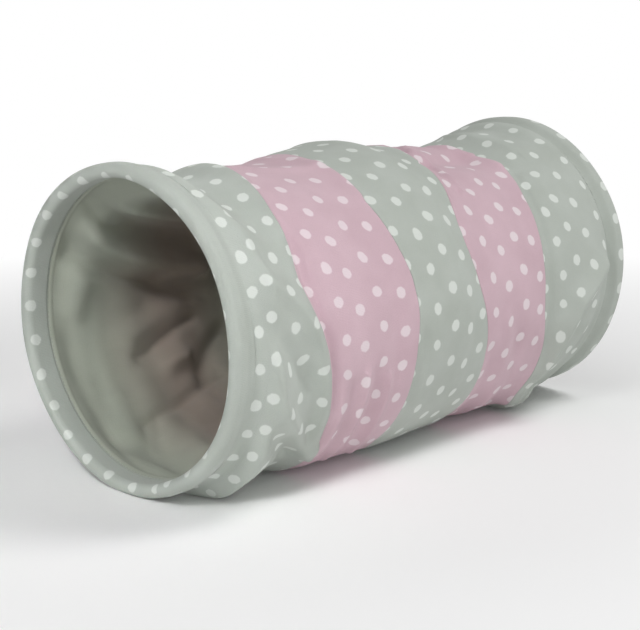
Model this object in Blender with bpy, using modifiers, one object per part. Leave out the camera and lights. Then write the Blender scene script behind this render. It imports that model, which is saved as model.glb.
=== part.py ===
"""A soft pet tunnel, lying on its side as it is used.

Five cloth bands, sage and pink by turns, are sewn edge to edge into a tube. A sprung steel coil runs
round inside them, and a plain cloth lining hides it. At each mouth a folded strip wraps the coil's
closed end turn and the raw edges of the outer cloth and of the lining. Units are metres. The tunnel's
axis runs along X with the near mouth at the low end, Z is up and the floor is at Z = 0.
A place along the tunnel is its distance from the near mouth. An angle round it starts at the top
and turns towards -Y, all the way round.
"""

import math

import bmesh
import bpy
from mathutils import Matrix, Vector

# Driving dimensions of the cloth tube.
MOUTH_DIAMETER = 0.250
CASING_WIDTH = 0.020
FRONT_SAGE_WIDTH = 0.076
FRONT_PINK_WIDTH = 0.094
MIDDLE_SAGE_WIDTH = 0.085
REAR_PINK_WIDTH = 0.090
REAR_SAGE_WIDTH = 0.088

# Cloths, thread and the room that each piece keeps to the next.
OUTER_CLOTH = 0.0016
LINING_CLOTH = 0.0012
THREAD_DIAMETER = 0.0008
SEWN_GAP = 0.0003

# The sprung coil and the crimped sleeve that closes each of its end turns.
WIRE_DIAMETER = 0.0025
WIRE_EASE = 0.0005
COIL_TURNS = 3.0
COIL_LEAVES_AT = 155.0
SLEEVE_LENGTH = 0.012
SLEEVE_WALL = 0.0007
CASING_EASE = 0.0015

# How the slack cloth lies: between the stiff mouths the bands slump down, and settle on the floor.
BAND_TUCK = 0.003
TUCK_RUN = 0.003
BELLY_RADIUS = 0.124
BELLY_DROP = 0.0094
DROP_ANGLE = -9.0
SEWN_FLAT = 0.004
SETTLE_RUN = 0.042
REST_CUT = 0.0008
REST_ROUNDING = 0.008

# The main swells and hollows of the bands. Each has its height, its place as a share of the tunnel's
# length and in degrees, and its reach as a share of the length and in degrees.
SWELLS = (
    (-0.0112, 0.086, -17.0, 0.056, 51.0),
    (0.0086, 0.462, 6.0, 0.067, 92.0),
    (-0.0085, 0.733, -11.0, 0.074, 56.0),
    (0.0127, 0.071, 149.0, 0.037, 75.0),
    (-0.0066, 0.176, 163.0, 0.037, 43.0),
    (0.0041, 0.836, 115.0, 0.037, 57.0),
)

# The lining hangs a little off the coil, and lower still in these droops, given in the same way.
LINING_SLACK = 0.0035
DROOPS = (
    (0.005, 0.20, -76.0, 0.090, 9.0),
    (0.006, 0.28, -120.0, 0.045, 12.0),
    (0.005, 0.16, 165.0, 0.050, 13.0),
    (0.005, 0.45, -75.0, 0.060, 14.0),
    (0.006, 0.38, 80.0, 0.060, 14.0),
    (0.006, 0.60, 45.0, 0.060, 16.0),
    (0.005, 0.68, -100.0, 0.060, 14.0),
    (0.005, 0.84, 35.0, 0.050, 16.0),
)

# The bands were sewn a little out of true, so each seam leans back on one side and waves twice round.
# Each has its reach and the angle at which it leans or waves furthest to the front.
SEAM_LEANS = ((0.009, 13.0), (0.014, 40.0), (0.007, -10.0), (0.005, -3.0))
SEAM_WAVES = ((0.012, 67.0), (0.003, 4.0), (0.012, 74.0), (0.007, 108.0))
BAND_JOIN_ANGLE = 205.0
CASING_JOIN_ANGLE = 165.0

# Fineness of the solids.
SIDES = 36
BAND_ROW = 0.011
NOSE_STEPS = 4
THREAD_SIDES = 4
WIRE_SIDES = 6
CROSSING_SIDES = 3
SLEEVE_STEPS = 6
SLOPE_STEP = 0.001
CREASE_ANGLE = 40.0

# Plain colours, in linear light.
SAGE = (0.42, 0.46, 0.40)
PINK = (0.56, 0.40, 0.44)
LINING_SAGE = (0.36, 0.40, 0.34)
THREAD_SAGE = (0.40, 0.43, 0.38)
SPRING_STEEL = (0.55, 0.55, 0.56)

# Sizes that follow from the ones above.
BANDS = (
    ("front_sage_band", FRONT_SAGE_WIDTH, "sage_cloth"),
    ("front_pink_band", FRONT_PINK_WIDTH, "pink_cloth"),
    ("middle_sage_band", MIDDLE_SAGE_WIDTH, "sage_cloth"),
    ("rear_pink_band", REAR_PINK_WIDTH, "pink_cloth"),
    ("rear_sage_band", REAR_SAGE_WIDTH, "sage_cloth"),
)
LENGTH = 2 * CASING_WIDTH + sum(width for _, width, _ in BANDS)
MOUTH_RADIUS = MOUTH_DIAMETER / 2
BAND_EDGE_RADIUS = MOUTH_RADIUS - BAND_TUCK
REST_DEPTH = MOUTH_RADIUS - REST_CUT
SEAM_GAP = THREAD_DIAMETER + 2 * SEWN_GAP
POCKET = WIRE_DIAMETER + 2 * WIRE_EASE
WIRE_DEPTH = OUTER_CLOTH + WIRE_EASE + WIRE_DIAMETER / 2
LINING_DEPTH = OUTER_CLOTH + POCKET
SLEEVE_HALF_HEIGHT = WIRE_DIAMETER / 2 + SEWN_GAP + SLEEVE_WALL
NOSE_RADIUS = OUTER_CLOTH + SEWN_GAP + SLEEVE_HALF_HEIGHT + CASING_EASE
WIRE_STEP = WIRE_DIAMETER + SEWN_GAP
END_TURN = NOSE_RADIUS - CASING_EASE + SLEEVE_HALF_HEIGHT
COIL_START = END_TURN + WIRE_STEP
BORE_RADIUS = MOUTH_RADIUS - 2 * NOSE_RADIUS
STEP_ANGLE = 360.0 / SIDES

# Places of the seams between bands, from the near casing's back edge on.
SEAMS = []
place = CASING_WIDTH
for band_name, band_width, band_cloth in BANDS[:-1]:
    place += band_width
    SEAMS.append(place)


def ramp(t):
    """0 below 0, 1 above 1 and a smooth rise between."""
    t = min(max(t, 0.0), 1.0)
    return t * t * (3 - 2 * t)


def settled(s):
    """How far the cloth at s is free of the stiff mouths, from 0 to 1."""
    held = CASING_WIDTH + SEWN_FLAT
    return ramp((s - held) / SETTLE_RUN) * ramp((LENGTH - held - s) / SETTLE_RUN)


def swelling(bumps, s, angle):
    """Height of these swells or droops together."""
    total = 0.0
    for height, share, turn, reach, spread in bumps:
        along = (s / LENGTH - share) / reach
        around = ((angle - turn + 180) % 360 - 180) / spread
        total += height * math.exp(-(along**2 + around**2) / 2)
    return total


def wall(s, angle):
    """A point of the bands' outer face."""
    a = math.radians(angle)
    free = settled(s)
    radius = BAND_EDGE_RADIUS + (BELLY_RADIUS - BAND_EDGE_RADIUS) * free
    drop = BELLY_DROP * free
    slump = math.radians(angle - DROP_ANGLE)
    r = math.sqrt(radius**2 - (drop * math.sin(slump)) ** 2) - drop * math.cos(slump)
    r += swelling(SWELLS, s, angle) * free
    z = r * math.cos(a)
    rounding = REST_ROUNDING * free
    if rounding > 0:
        overlap = max(rounding - abs(z + REST_DEPTH), 0.0)
        z = max(z, -REST_DEPTH) + overlap**2 / (4 * rounding)
    return Vector((s - LENGTH / 2, -r * math.sin(a), z + REST_DEPTH))


def under_wall(s, angle, depth):
    """A point this far inside the bands' outer face, square to it."""
    turn = math.degrees(SLOPE_STEP / MOUTH_RADIUS)
    along = wall(s + SLOPE_STEP, angle) - wall(s - SLOPE_STEP, angle)
    around = wall(s, angle + turn) - wall(s, angle - turn)
    return wall(s, angle) - along.cross(-around).normalized() * depth


def seam_place(number, angle):
    """Where the seam after this band lies at this angle."""
    lean, lean_angle = SEAM_LEANS[number]
    wave, wave_angle = SEAM_WAVES[number]
    leaned = lean * math.cos(math.radians(angle - lean_angle))
    waved = wave * math.cos(2 * math.radians(angle - wave_angle))
    return SEAMS[number] - leaned - waved


def band_edges(number):
    """The two edges of a band, each as a function of the angle."""

    def front(angle):
        if number == 0:
            return CASING_WIDTH + SEAM_GAP
        return seam_place(number - 1, angle) + SEAM_GAP / 2

    def back(angle):
        if number == len(BANDS) - 1:
            return LENGTH - CASING_WIDTH - SEAM_GAP
        return seam_place(number, angle) - SEAM_GAP / 2

    return front, back


def round_angles(join_angle):
    """Angles round the tube from just past a join back to it, every side's corner between."""
    half_slit = math.degrees(SEAM_GAP / 2 / MOUTH_RADIUS)
    inner = [join_angle - STEP_ANGLE * i for i in range(1, SIDES)]
    return [join_angle - half_slit] + inner + [join_angle - 360 + half_slit]


def ring_angles():
    """Angles of every side's corner, all the way round."""
    return [BAND_JOIN_ANGLE + STEP_ANGLE * i for i in range(SIDES)]


parts = bpy.data.collections.new("pet_tunnel")
bodies = {}


def clear_scene():
    for obj in list(bpy.data.objects):
        bpy.data.objects.remove(obj, do_unlink=True)
    bpy.context.scene.collection.children.link(parts)


def make_material(name, colour, roughness, metallic=0.0):
    material = bpy.data.materials.new(name)
    material.use_nodes = True
    shader = material.node_tree.nodes["Principled BSDF"]
    shader.inputs["Base Color"].default_value = (*colour, 1)
    shader.inputs["Roughness"].default_value = roughness
    shader.inputs["Metallic"].default_value = metallic
    return material


def make_bodies():
    """An empty on the axis for each stretch that slides on the one before it as the tunnel folds."""
    places = [0.0, *SEAMS, LENGTH]
    names = ["front_end", "first_seam", "second_seam", "third_seam", "fourth_seam", "rear_end"]
    parent = None
    for name, s in zip(names, places):
        empty = bpy.data.objects.new(name, None)
        parts.objects.link(empty)
        world = Vector((s - LENGTH / 2, 0, REST_DEPTH))
        empty.location = world - (bodies[parent][1] if parent else Vector())
        empty.parent = bodies[parent][0] if parent else None
        bodies[name] = (empty, world)
        parent = name
    return names


def hang(obj, body, material):
    """Puts a piece, drawn in place, on its body."""
    parts.objects.link(obj)
    empty, world = bodies[body]
    obj.parent = empty
    obj.location = -world
    obj.data.materials.append(material)


def sheet(name, columns, rows, point, thickness, body, material):
    """A bent sheet: point(i, j) gives its outer face, and its thickness grows inwards."""
    bm = bmesh.new()
    bmesh.ops.create_grid(bm, x_segments=columns - 1, y_segments=rows - 1, size=0.5)
    for vertex in bm.verts:
        i = round((vertex.co.x + 0.5) * (columns - 1))
        j = round((vertex.co.y + 0.5) * (rows - 1))
        vertex.co = point(i, j)
    mesh = bpy.data.meshes.new(name)
    bm.to_mesh(mesh)
    bm.free()
    mesh.shade_smooth()
    mesh.set_sharp_from_angle(angle=math.radians(CREASE_ANGLE))
    obj = bpy.data.objects.new(name, mesh)
    hang(obj, body, material)
    cloth = obj.modifiers.new("cloth", "SOLIDIFY")
    cloth.thickness = thickness
    cloth.offset = -1
    cloth.use_even_offset = True
    return obj


def thread(name, points, closed, body, material, diameter=THREAD_DIAMETER, sides=THREAD_SIDES):
    """A round thread or wire through these points."""
    curve = bpy.data.curves.new(name, "CURVE")
    curve.dimensions = "3D"
    curve.bevel_depth = diameter / 2
    curve.bevel_resolution = (sides - 4) // 2
    curve.use_fill_caps = not closed
    spline = curve.splines.new("POLY")
    spline.points.add(len(points) - 1)
    for target, point in zip(spline.points, points):
        target.co = (*point, 1)
    spline.use_cyclic_u = closed
    obj = bpy.data.objects.new(name, curve)
    hang(obj, body, material)
    return obj


def column_count(front, back):
    """Rows of points that a strip needs along the tunnel, for its longest side."""
    longest = max(back(angle) - front(angle) for angle in ring_angles())
    return max(3, math.ceil(longest / BAND_ROW) + 1)


def cloth_tube(name, front, back, depth, thickness, body, material):
    """A strip of cloth wrapped into a tube from front(angle) to back(angle), its ends not quite met."""
    angles = round_angles(BAND_JOIN_ANGLE)
    columns = column_count(front, back)

    def point(i, j):
        s = front(angles[j]) + (back(angles[j]) - front(angles[j])) * i / (columns - 1)
        return under_wall(s, angles[j], depth(s, angles[j]))

    return sheet(name, columns, len(angles), point, thickness, body, material)


def join_points(front, back, depth):
    """Points down the slit where a strip's two ends meet."""
    first, last = front(BAND_JOIN_ANGLE), back(BAND_JOIN_ANGLE)
    count = column_count(front, back)
    places = [first + (last - first) * i / (count - 1) for i in range(count)]
    return [under_wall(s, BAND_JOIN_ANGLE, depth(s, BAND_JOIN_ANGLE)) for s in places]


def make_bands(names, materials):
    """The five outer bands and the thread down each one's join."""
    for number, (name, _, cloth) in enumerate(BANDS):
        front, back = band_edges(number)
        body = names[number]
        cloth_tube(name, front, back, lambda s, angle: 0.0, OUTER_CLOTH, body, materials[cloth])
        points = join_points(front, back, lambda s, angle: OUTER_CLOTH / 2)
        thread(name.replace("band", "join_stitch"), points, False, body, materials["thread"])


def make_seam_stitches(names, materials):
    """The thread between each band and the next, in the groove where their edges meet."""
    labels = ("front_sage_to_pink", "front_pink_to_middle", "middle_to_rear_pink", "rear_pink_to_sage")
    for number, label in enumerate(labels):
        points = [
            under_wall(seam_place(number, angle), angle, OUTER_CLOTH / 2) for angle in ring_angles()
        ]
        thread(label + "_stitch", points, True, names[number + 1], materials["thread"])


def on_ring(s, radius, angle):
    """A point of a stiff mouth, whose underside is pressed flat where it stands."""
    a = math.radians(angle)
    z = max(radius * math.cos(a), -REST_DEPTH)
    return Vector((s - LENGTH / 2, -radius * math.sin(a), z + REST_DEPTH))


def casing_profile():
    """The folded strip from its inner edge, round the mouth, to its outer edge, as (depth, radius)."""
    centre = MOUTH_RADIUS - NOSE_RADIUS
    outer_turn = CASING_WIDTH - TUCK_RUN
    nose = [
        (
            NOSE_RADIUS - NOSE_RADIUS * math.sin(math.pi * i / NOSE_STEPS),
            centre - NOSE_RADIUS * math.cos(math.pi * i / NOSE_STEPS),
        )
        for i in range(NOSE_STEPS + 1)
    ]
    inner = [(CASING_WIDTH, BORE_RADIUS)]
    outer = [(outer_turn, MOUTH_RADIUS), (CASING_WIDTH, BAND_EDGE_RADIUS)]
    return inner + nose + outer


def make_casing(end, body, materials):
    """A strip folded over the end turn of the coil, with its ends sewn together at the foot."""
    profile = casing_profile()
    angles = round_angles(CASING_JOIN_ANGLE)
    if end == "rear":
        profile = [(LENGTH - depth, radius) for depth, radius in reversed(profile)]

    def point(i, j):
        return on_ring(*profile[i], angles[j])

    name = end + "_casing"
    sheet(name, len(profile), len(angles), point, OUTER_CLOTH, body, materials["sage_cloth"])
    middle = OUTER_CLOTH / 2
    shrunk = []
    for before, here, after in zip(profile[:1] + profile[:-1], profile, profile[1:] + profile[-1:]):
        run = Vector((after[0] - before[0], after[1] - before[1])).normalized()
        shrunk.append((here[0] + run.y * middle, here[1] - run.x * middle))
    points = [on_ring(s, radius, CASING_JOIN_ANGLE) for s, radius in shrunk]
    thread(name + "_join_stitch", points, False, body, materials["thread"])


def make_casing_stitches(end, body, materials):
    """The threads that hold a casing's outer edge to its band and its inner edge to the lining."""
    groove = CASING_WIDTH + SEAM_GAP / 2
    s = groove if end == "front" else LENGTH - groove
    outer = [under_wall(s, angle, OUTER_CLOTH / 2) for angle in ring_angles()]
    thread(end + "_casing_to_band_stitch", outer, True, body, materials["thread"])
    radius = BORE_RADIUS + LINING_CLOTH / 2
    inner = [on_ring(s, radius, angle) for angle in ring_angles()]
    thread(end + "_casing_to_lining_stitch", inner, True, body, materials["thread"])


def lining_depth(s, angle):
    """The lining hangs slack inside the coil and meets each casing's inner edge."""
    at_mouth = BAND_EDGE_RADIUS - BORE_RADIUS - LINING_CLOTH
    hung = LINING_DEPTH + LINING_SLACK + swelling(DROOPS, s, angle)
    return at_mouth + (hung - at_mouth) * settled(s)


def make_lining(materials):
    """One plain cloth tube, sewn to both casings."""

    def front(angle):
        return CASING_WIDTH + SEAM_GAP

    def back(angle):
        return LENGTH - CASING_WIDTH - SEAM_GAP

    cloth = materials["lining_cloth"]
    cloth_tube("lining", front, back, lining_depth, LINING_CLOTH, "front_end", cloth)
    points = join_points(front, back, lambda s, angle: lining_depth(s, angle) + LINING_CLOTH / 2)
    thread("lining_join_stitch", points, False, "front_end", materials["thread"])


def wire_point(s, angle):
    """The wire runs mid casing in the mouths and just under the bands between them."""
    in_casing = on_ring(s, MOUTH_RADIUS - NOSE_RADIUS, angle)
    under_band = under_wall(s, angle, WIRE_DEPTH)
    edge = min(s, LENGTH - s)
    return in_casing.lerp(under_band, ramp((edge - COIL_START) / (CASING_WIDTH - COIL_START)))


def make_coil(materials):
    """One spring wire: a closed turn in the near casing, the open turns, a closed turn in the far one."""
    path = []
    for i in range(SIDES + 1):
        nearing = ramp((i - (SIDES - CROSSING_SIDES)) / CROSSING_SIDES)
        path.append((END_TURN + WIRE_STEP * nearing, COIL_LEAVES_AT + STEP_ANGLE * i))
    open_steps = round(COIL_TURNS * SIDES)
    for i in range(open_steps + 1):
        s = COIL_START + (LENGTH - 2 * COIL_START) * i / open_steps
        path.append((s, COIL_LEAVES_AT + STEP_ANGLE * (i + 1)))
    last = COIL_LEAVES_AT + STEP_ANGLE * (open_steps + 1)
    for i in range(1, SIDES + 2):
        leaving = ramp((i - 1) / CROSSING_SIDES)
        path.append((LENGTH - COIL_START + WIRE_STEP * leaving, last + STEP_ANGLE * i))
    points = [wire_point(s, angle) for s, angle in path]
    thread("coil_wire", points, False, "front_end", materials["wire"], WIRE_DIAMETER, WIRE_SIDES)
    make_sleeve("front", COIL_LEAVES_AT, materials)
    make_sleeve("rear", last, materials)


def stadium(curve, half_width, half_height):
    """A closed outline with round ends, wide along the curve's X."""
    outline = []
    for side in (1, -1):
        for i in range(SLEEVE_STEPS + 1):
            a = math.pi * (i / SLEEVE_STEPS - 0.5)
            x = side * (half_width - half_height + half_height * math.cos(a))
            outline.append((x, side * half_height * math.sin(a)))
    spline = curve.splines.new("POLY")
    spline.points.add(len(outline) - 1)
    for target, (x, y) in zip(spline.points, outline):
        target.co = (x, y, 0, 1)
    spline.use_cyclic_u = True


def make_sleeve(end, angle, materials):
    """A crimped sleeve round the wire's end and the turn that lies beside it."""
    middle = END_TURN + WIRE_STEP / 2
    s = middle if end == "front" else LENGTH - middle
    radius = MOUTH_RADIUS - NOSE_RADIUS
    first, second = on_ring(s, radius, angle), on_ring(s, radius, angle + STEP_ANGLE)
    forward = (second - first).normalized()
    across = Vector((1, 0, 0))
    curve = bpy.data.curves.new(end + "_wire_sleeve", "CURVE")
    curve.dimensions = "2D"
    curve.fill_mode = "BOTH"
    curve.extrude = SLEEVE_LENGTH / 2
    hole_height = WIRE_DIAMETER / 2 + SEWN_GAP
    stadium(curve, WIRE_STEP / 2 + SLEEVE_HALF_HEIGHT, SLEEVE_HALF_HEIGHT)
    stadium(curve, WIRE_STEP / 2 + hole_height, hole_height)
    obj = bpy.data.objects.new(end + "_wire_sleeve", curve)
    hang(obj, end + "_end", materials["wire"])
    turn = Matrix((across, forward.cross(across), forward)).transposed()
    obj.rotation_euler = turn.to_euler()
    obj.location = (first + second) / 2 - bodies[end + "_end"][1]


def build():
    clear_scene()
    materials = {
        "sage_cloth": make_material("sage_cloth", SAGE, 0.95),
        "pink_cloth": make_material("pink_cloth", PINK, 0.95),
        "lining_cloth": make_material("lining_cloth", LINING_SAGE, 0.95),
        "thread": make_material("thread", THREAD_SAGE, 0.8),
        "wire": make_material("spring_steel", SPRING_STEEL, 0.35, 1.0),
    }
    names = make_bodies()
    for end in ("front", "rear"):
        make_casing(end, end + "_end", materials)
        make_casing_stitches(end, end + "_end", materials)
    make_bands(names, materials)
    make_seam_stitches(names, materials)
    make_lining(materials)
    make_coil(materials)


build()
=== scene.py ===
import math

import bmesh
import bpy
import numpy as np
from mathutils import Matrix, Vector, noise


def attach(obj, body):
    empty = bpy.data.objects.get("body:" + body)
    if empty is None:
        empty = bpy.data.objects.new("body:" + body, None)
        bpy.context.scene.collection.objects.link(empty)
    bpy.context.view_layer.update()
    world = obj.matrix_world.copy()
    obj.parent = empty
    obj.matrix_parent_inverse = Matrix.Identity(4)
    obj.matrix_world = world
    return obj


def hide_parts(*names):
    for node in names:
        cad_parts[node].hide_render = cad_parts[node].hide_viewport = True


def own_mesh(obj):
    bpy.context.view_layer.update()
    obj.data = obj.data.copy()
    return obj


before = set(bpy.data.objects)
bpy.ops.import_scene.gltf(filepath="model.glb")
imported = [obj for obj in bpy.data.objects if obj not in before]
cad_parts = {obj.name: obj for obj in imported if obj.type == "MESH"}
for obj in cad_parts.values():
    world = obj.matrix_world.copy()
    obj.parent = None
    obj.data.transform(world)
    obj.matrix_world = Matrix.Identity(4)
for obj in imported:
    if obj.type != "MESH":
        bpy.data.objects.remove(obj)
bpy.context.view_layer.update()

# THE BANDS
# Five strips of brushed polyester knit, printed with white dots and sewn edge to edge into a slack tube
# that settles on the floor and sags between the turns of its spring. The seams were sewn a little out of
# true, so each leans back below.

# Sizes are in metres and angles in degrees from the top towards the near side, unless a comment says so.
LENGTH = 0.473
RING_RADIUS = 0.125
AXIS_HEIGHT = 0.1242
CASING_WIDTH = 0.020
SEAM_GAP = 0.0014
KNIT = 0.0016
# Where each strip's two ends meet, low on the far side.
BAND_JOIN = 205.0
# The tunnel's mean radius, and the cloth that goes into one degree round it.
MEAN_RADIUS = 0.124
MM_PER_DEGREE = 2.18
# The share of its length that a band keeps when the tunnel is pressed flat.
FOLDED_BAND = 0.08

# Each band: its name, front and back behind the near mouth, body, the joint that folds it, and its cloth.
BANDS = [
    ("front_sage", 0.020, 0.096, "front_end", "front_sage_fold", "sage_cloth"),
    ("front_pink", 0.096, 0.190, "first_seam", "front_pink_fold", "pink_cloth"),
    ("middle_sage", 0.190, 0.275, "second_seam", "middle_sage_fold", "sage_cloth"),
    ("rear_pink", 0.275, 0.365, "third_seam", "rear_pink_fold", "pink_cloth"),
    ("rear_sage", 0.365, 0.453, "fourth_seam", "rear_sage_fold", "sage_cloth"),
]

# Where the four seams run: degrees, and millimetres behind the near mouth.
SEAM_LINES = [
    [
        (-180, 112), (-150, 104), (-110, 96), (-60, 95), (-25, 101), (-8, 103), (5, 99), (15, 94), (25, 88.5),
        (40, 81.5), (52, 78.5), (62, 75.5), (70, 74.8), (77, 77), (85, 84), (92, 90.5), (100, 95.5),
        (112, 101), (122, 104), (132, 108), (140, 112.5), (150, 116), (165, 116),
    ],
    [
        (-180, 201), (-140, 205), (-90, 202), (-45, 192), (-12, 180), (8, 175.5), (30, 174.5), (45, 173.5),
        (55, 176), (65, 179), (75, 183.5), (85, 185.6), (100, 186), (112, 188.4), (130, 189.2), (140, 191),
        (150, 195), (165, 197),
    ],
    [
        (-180, 290), (-140, 280), (-90, 271), (-45, 273), (-15, 281), (5, 282), (15, 278), (22, 274.5),
        (32, 273.5), (40, 269.5), (50, 264), (60, 258.5), (67, 257.5), (76, 260.5), (85, 264), (95, 271),
        (105, 276.3), (115, 280.6), (125, 284.5), (135, 289), (145, 294), (165, 296),
    ],
    [
        (-180, 373), (-140, 370), (-90, 363), (-45, 358), (-15, 356), (3, 359), (14, 365), (24, 371),
        (33, 375.5), (41, 373), (50, 366.5), (60, 363), (70, 360), (80, 356.5), (92, 354.8), (100, 355),
        (106, 359.5), (112, 363), (130, 365.5), (140, 368.5), (152, 371.5),
    ],
]

# How far the cloth lies from the tunnel's axis along its top and along its near foot, at the two angles
# below: millimetres behind the near mouth, and millimetres from the axis.
TOP_LINE = [
    (20, 122), (26, 121), (32, 117), (38, 112), (44, 108), (50, 106), (57, 105.5), (64, 106), (71, 107.5),
    (78, 110), (86, 112.5), (94, 113.6), (102, 113.6), (112, 112.4), (124, 111.7), (136, 110.9), (148, 111.2),
    (160, 112), (172, 115.5), (186, 116.7), (200, 118.2), (214, 120), (228, 121.2), (242, 118.5),
    (254, 114.7), (264, 113.1), (274, 112.5), (284, 110.9), (294, 109.5), (306, 110.8), (318, 109.5),
    (330, 107.4), (342, 105.1), (354, 105), (366, 106.5), (378, 107.1), (390, 109.8), (402, 111.5),
    (414, 112.9), (426, 114), (436, 116), (444, 119), (453, 122),
]
FOOT_LINE = [
    (20, 124.5), (26, 131), (32, 138), (38, 140), (44, 137), (50, 136), (57, 133.8), (64, 130), (71, 129),
    (78, 127), (86, 125), (94, 124.7), (102, 127.5), (112, 132), (124, 133.3), (136, 133.4), (148, 132.4),
    (160, 133.8), (172, 134), (186, 134.4), (200, 135.6), (214, 134.7), (228, 134.2), (254, 133),
    (274, 132.5), (284, 132), (294, 130.8), (306, 129.3), (318, 129.2), (330, 131.6), (342, 131),
    (354, 130.5), (366, 131), (378, 133), (390, 135.9), (402, 133.5), (414, 131.9), (426, 129.9),
    (436, 127.5), (444, 125.4), (453, 123.4),
]
TOP_ANGLE = -9.5
FOOT_ANGLE = 154.0
# Over how many millimetres of these lines, and degrees of a seam's line, the cloth rounds a corner.
LINE_EASING = 15
SEAM_EASING = 9


def eased(places, span):
    """A line of evenly spaced places with its corners rounded, as cloth rounds them."""
    brush = np.hanning(span)
    return np.convolve(places, brush / brush.sum(), "same")


# Each line at every millimetre, from a little before the near mouth to a little past the far one.
every_mm = np.arange(-40.0, 514.0)
top_line = every_mm, eased(np.interp(every_mm, *zip(*TOP_LINE)), LINE_EASING)
foot_line = every_mm, eased(np.interp(every_mm, *zip(*FOOT_LINE)), LINE_EASING)

# Folds that the slack cloth has taken: the line that each follows, as millimetres behind the near mouth
# and degrees from the top; its height; and its half widths to the left and the right of the line, as one
# walks it on a map that has the near mouth at the left and the tunnel's top at the upper edge.
FOLDS = [
    ([(24, 28), (34, 43), (46, 50)], 1.8, 4, 4),
    ([(34, 50), (60, 55), (78, 57)], 2.2, 9, 10),
    ([(104, -20), (94, 0), (88, 15), (82, 35), (78, 52)], 2.4, 5, 9),
    ([(20, 63), (45, 69), (62, 76), (79, 87), (91, 102), (98, 118), (104, 134)], 6.0, 10, 5),
    ([(26, 80), (48, 90), (76, 103)], -7.5, 8, 7),
    ([(24, 84), (30, 95), (38, 105), (55, 113), (75, 122), (104, 139)], 6.0, 4, 5),
    ([(34, 115), (60, 126), (90, 139)], -5.0, 5, 6),
    ([(50, 18), (60, 32), (66, 48)], -2.6, 8, 8),
    ([(81, 54), (80, 68), (84, 80), (95, 94), (102, 108), (107, 130)], -3.2, 3, 4.5),
    ([(80, 56), (79, 70), (88, 86), (98, 100), (104, 114)], -1.5, 4, 1.8),
    ([(106, 8), (118, 12), (140, 14), (166, 19)], 2.2, 6, 4),
    ([(157, -8), (166, 10), (171, 22), (172, 40)], 2.0, 4, 4),
    ([(118, 108), (122, 124), (128, 142)], -2.4, 4, 4),
    ([(145, 106), (148, 122), (154, 140)], -3.0, 5, 5),
    ([(228, -20), (234, 0), (238, 20), (240, 38)], 1.5, 12, 5),
    ([(292, -12), (285, 5), (277, 16), (275, 30), (270, 42)], 3.4, 3, 14),
    ([(300, -5), (292, 8), (284, 20), (281, 32)], -3.6, 6, 3),
    ([(236, 56), (243, 88), (247, 122)], 1.4, 6, 7),
    ([(303, 6), (290, 18), (288, 30), (294, 42)], 2.4, 3.5, 3.5),
    ([(278, 36), (286, 44), (298, 48)], 1.6, 2.5, 2.5),
    ([(300, 3), (330, 5), (358, 8)], 1.8, 8, 6),
    ([(294, 24), (322, 21), (350, 20)], -6.5, 8, 13),
    ([(299, 10), (302, 20), (301, 27), (292, 36), (288, 46)], 1.8, 1.6, 1.6),
    ([(350, 0), (357, 12), (364, 22), (370, 33)], 3.0, 3, 5),
    ([(366, -12), (372, 4), (377, 20), (382, 38)], -4.0, 8, 4),
    ([(300, 98), (312, 120), (330, 143)], 2.2, 5, 5),
    ([(286, 110), (298, 128), (312, 146)], -2.2, 5, 5),
    ([(322, 108), (336, 126), (350, 146)], -2.0, 5, 5),
    ([(400, -12), (396, 10), (400, 26)], 3.2, 9, 4),
    (
        [(452, 82), (430, 87), (410, 93), (395, 98), (383, 106), (376, 116), (372, 128), (374, 146)],
        8.0, 18, 7,
    ),
    ([(450, 83), (430, 87), (410, 93), (395, 98), (383, 106), (376, 116), (372, 128)], 2.2, 5, 1.8),
    ([(438, 98), (414, 107), (398, 118), (390, 134)], -7.0, 8, 14),
    ([(446, 112), (430, 124), (408, 138)], -6.0, 15, 13),
    ([(444, 86), (445, 106), (447, 130)], -3.5, 3.5, 3),
    ([(404, 44), (430, 52)], 1.6, 9, 9),
    ([(447, -40), (447, 20), (448, 80), (449, 140)], -3.0, 3, 2.5),
    ([(376, 40), (369, 60), (362, 84), (362, 100), (370, 122), (374, 140)], -2.2, 2.5, 4),
    ([(192, 96), (194, 120), (198, 142)], -2.0, 3, 5),
    ([(131, 104), (133, 122), (138, 146)], 2.6, 3, 2.5),
    ([(158, 108), (161, 126), (168, 146)], 2.6, 3, 2.5),
    ([(160, 86), (164, 106)], -1.8, 6, 6),
    ([(60, -30), (100, -62), (120, -90)], 3.2, 7, 5),
    ([(40, -50), (70, -78)], -3.2, 8, 8),
    ([(120, -40), (150, -70), (176, -84)], -3.4, 10, 8),
    ([(170, -36), (196, -78), (206, -112)], 3.0, 5, 9),
    ([(214, -60), (244, -100)], -2.8, 9, 9),
    ([(262, -34), (286, -74), (296, -108)], 3.2, 4, 8),
    ([(312, -48), (338, -86)], -3.4, 9, 9),
    ([(352, -30), (376, -66), (398, -92)], 3.2, 5, 8),
    ([(404, -60), (432, -100)], -3.0, 8, 8),
    ([(50, -110), (84, -132)], 3.0, 6, 6),
    ([(140, -112), (172, -136)], 3.0, 6, 6),
    ([(236, -120), (262, -140)], 3.0, 6, 6),
    ([(330, -116), (366, -138)], 3.0, 6, 6),
]


def ramp(t):
    """A smooth rise from 0 to 1."""
    t = np.clip(t, 0.0, 1.0)
    return t * t * (3 - 2 * t)


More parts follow.
